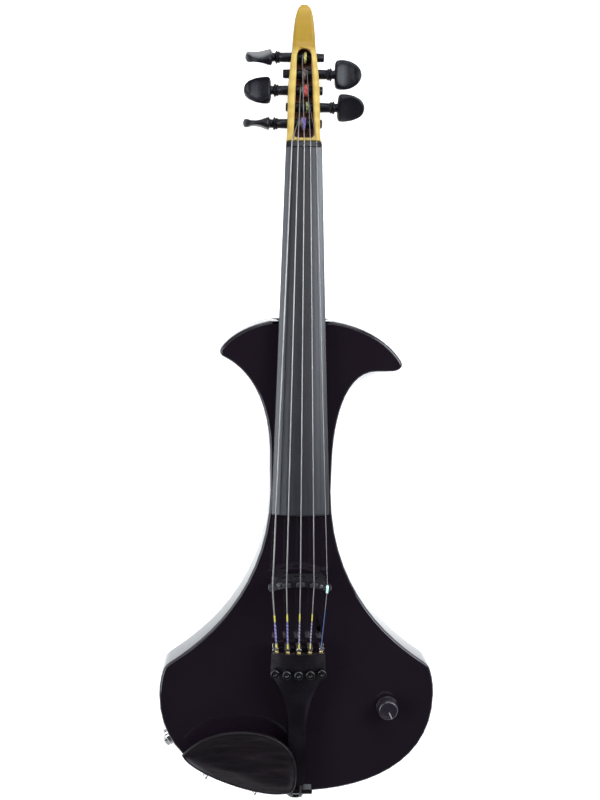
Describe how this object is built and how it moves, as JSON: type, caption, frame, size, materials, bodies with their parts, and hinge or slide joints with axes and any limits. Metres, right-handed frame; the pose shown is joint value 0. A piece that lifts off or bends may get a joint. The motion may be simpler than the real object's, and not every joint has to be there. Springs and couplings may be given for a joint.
{
  "type": "electric violin",
  "caption": "Solid-body electric violin with horned body, pickup bridge, fine tuners, chin rest, volume knob and output socket.",
  "frame": {"origin": "on the flat back, on the centre line, straight below the bridge", "axes": "+Z out of the playing face, +Y along the neck towards the head, +X towards the treble side; the instrument lies on its back"},
  "size_m": [0.2142, 0.6135, 0.0714],
  "materials": {
    "black_lacquer": "high gloss black lacquer over solid wood",
    "amber_maple": "flamed maple under amber gloss varnish",
    "ebony": "polished ebony",
    "black_composite": "satin black moulding",
    "pickup_black": "satin black",
    "string_steel": "flat wound steel",
    "brass": "polished",
    "nickel": "polished",
    "mint_sleeve": "soft translucent tube",
    "tail_cord": "nylon line",
    "dark_hardwood": "satin black stained hardwood",
    "cork": "cork",
    "knob_black": "gloss black with a white pointer",
    "steel": "plated",
    "socket_black": "matt",
    "battery_case": "plain",
    "circuit_board": "solder resist"
  },
  "bodies": {
    "violin": {"body": "black_lacquer", "neck_and_head": "amber_maple", "fingerboard": "ebony", "nut": "ebony", "bridge": "black_composite", "tailpiece": "black_composite", "tuner_rod": "nickel", "string_c": "string_steel", "string_g": "string_steel", "string_d": "string_steel", "string_a": "string_steel", "string_e": "string_steel", "pickup_saddle_c": "pickup_black", "pickup_saddle_g": "pickup_black", "pickup_saddle_d": "pickup_black", "pickup_saddle_a": "pickup_black", "pickup_saddle_e": "pickup_black", "string_sleeve_e": "mint_sleeve", "bridge_screw_1": "nickel", "bridge_screw_2": "nickel", "tail_cord": "tail_cord", "tail_saddle": "ebony", "end_button": "ebony", "chin_rest_plate": "dark_hardwood", "chin_rest_cork": "cork", "chin_rest_clamp_foot": "nickel", "volume_potentiometer": "steel", "jack_ring": "nickel", "jack_socket": "socket_black", "rear_cover": "socket_black", "cover_screw_1": "steel", "cover_screw_2": "steel", "cover_screw_3": "steel", "cover_screw_4": "steel", "battery": "battery_case", "preamp_board": "circuit_board"},
    "peg_c_turning": {"peg_c": "ebony"},
    "peg_g_turning": {"peg_g": "ebony"},
    "peg_d_turning": {"peg_d": "ebony"},
    "peg_a_turning": {"peg_a": "ebony"},
    "peg_e_turning": {"peg_e": "ebony"},
    "tuner_c_screw": {"tuner_screw_c": "nickel"},
    "tuner_c_lever": {"tuner_lever_c": "nickel", "ball_end_c": "brass"},
    "tuner_g_screw": {"tuner_screw_g": "nickel"},
    "tuner_g_lever": {"tuner_lever_g": "nickel", "ball_end_g": "brass"},
    "tuner_d_screw": {"tuner_screw_d": "nickel"},
    "tuner_d_lever": {"tuner_lever_d": "nickel", "ball_end_d": "brass"},
    "tuner_a_screw": {"tuner_screw_a": "nickel"},
    "tuner_a_lever": {"tuner_lever_a": "nickel", "ball_end_a": "brass"},
    "tuner_e_screw": {"tuner_screw_e": "nickel"},
    "tuner_e_lever": {"tuner_lever_e": "nickel", "ball_end_e": "brass"},
    "volume_control": {"volume_knob": "knob_black", "volume_shaft": "steel"},
    "clamp_barrel_1_turning": {"clamp_barrel_1": "nickel"},
    "clamp_barrel_2_turning": {"clamp_barrel_2": "nickel"}
  },
  "joints": [
    {"name": "peg_c_turn", "type": "hinge", "parent": "violin", "child": "peg_c_turning", "pos_m": [0, 0.345, 0.02521], "axis": [-1, 0, 0], "range_deg": [-270, 90]},
    {"name": "peg_g_turn", "type": "hinge", "parent": "violin", "child": "peg_g_turning", "pos_m": [0, 0.3698, 0.02083], "axis": [-1, 0, 0], "range_deg": [-270, 90]},
    {"name": "peg_d_turn", "type": "hinge", "parent": "violin", "child": "peg_d_turning", "pos_m": [0, 0.3946, 0.01646], "axis": [-1, 0, 0], "range_deg": [-270, 90]},
    {"name": "peg_a_turn", "type": "hinge", "parent": "violin", "child": "peg_a_turning", "pos_m": [0, 0.3822, 0.01865], "axis": [-1, 0, 0], "range_deg": [-270, 90]},
    {"name": "peg_e_turn", "type": "hinge", "parent": "violin", "child": "peg_e_turning", "pos_m": [0, 0.3574, 0.02302], "axis": [-1, 0, 0], "range_deg": [-270, 90]},
    {"name": "tuner_c_screw_turn", "type": "hinge", "parent": "violin", "child": "tuner_c_screw", "pos_m": [-0.018, -0.07, 0.05], "axis": [0, 0, -1], "range_deg": [0, 720]},
    {"name": "tuner_c_lever_tilt", "type": "hinge", "parent": "violin", "child": "tuner_c_lever", "pos_m": [-0.018, -0.06, 0.0465], "axis": [1, 0, 0], "range_deg": [0, 5.8]},
    {"name": "tuner_g_screw_turn", "type": "hinge", "parent": "violin", "child": "tuner_g_screw", "pos_m": [-0.009, -0.07, 0.05], "axis": [0, 0, -1], "range_deg": [0, 720]},
    {"name": "tuner_g_lever_tilt", "type": "hinge", "parent": "violin", "child": "tuner_g_lever", "pos_m": [-0.009, -0.06, 0.0465], "axis": [1, 0, 0], "range_deg": [0, 5.8]},
    {"name": "tuner_d_screw_turn", "type": "hinge", "parent": "violin", "child": "tuner_d_screw", "pos_m": [0, -0.07, 0.05], "axis": [0, 0, -1], "range_deg": [0, 720]},
    {"name": "tuner_d_lever_tilt", "type": "hinge", "parent": "violin", "child": "tuner_d_lever", "pos_m": [0, -0.06, 0.0465], "axis": [1, 0, 0], "range_deg": [0, 5.8]},
    {"name": "tuner_a_screw_turn", "type": "hinge", "parent": "violin", "child": "tuner_a_screw", "pos_m": [0.009, -0.07, 0.05], "axis": [0, 0, -1], "range_deg": [0, 720]},
    {"name": "tuner_a_lever_tilt", "type": "hinge", "parent": "violin", "child": "tuner_a_lever", "pos_m": [0.009, -0.06, 0.0465], "axis": [1, 0, 0], "range_deg": [0, 5.8]},
    {"name": "tuner_e_screw_turn", "type": "hinge", "parent": "violin", "child": "tuner_e_screw", "pos_m": [0.018, -0.07, 0.05], "axis": [0, 0, -1], "range_deg": [0, 720]},
    {"name": "tuner_e_lever_tilt", "type": "hinge", "parent": "violin", "child": "tuner_e_lever", "pos_m": [0.018, -0.06, 0.0465], "axis": [1, 0, 0], "range_deg": [0, 5.8]},
    {"name": "volume_turn", "type": "hinge", "parent": "violin", "child": "volume_control", "pos_m": [0.0702, -0.1017, 0.045], "axis": [0, 0, 1], "range_deg": [0, 300]},
    {"name": "clamp_barrel_1_turn", "type": "hinge", "parent": "violin", "child": "clamp_barrel_1_turning", "pos_m": [-0.0706, -0.1582, 0.023], "axis": [0, 0, 1], "range_deg": [-1260, 0]},
    {"name": "clamp_barrel_2_turn", "type": "hinge", "parent": "violin", "child": "clamp_barrel_2_turning", "pos_m": [-0.0325, -0.1714, 0.023], "axis": [0, 0, 1], "range_deg": [-1260, 0]}
  ],
  "couplings": [
    {"joint": "tuner_c_lever_tilt", "follows": "tuner_c_screw_turn", "ratio": 0.008},
    {"joint": "tuner_g_lever_tilt", "follows": "tuner_g_screw_turn", "ratio": 0.008},
    {"joint": "tuner_d_lever_tilt", "follows": "tuner_d_screw_turn", "ratio": 0.008},
    {"joint": "tuner_a_lever_tilt", "follows": "tuner_a_screw_turn", "ratio": 0.008},
    {"joint": "tuner_e_lever_tilt", "follows": "tuner_e_screw_turn", "ratio": 0.008}
  ]
}
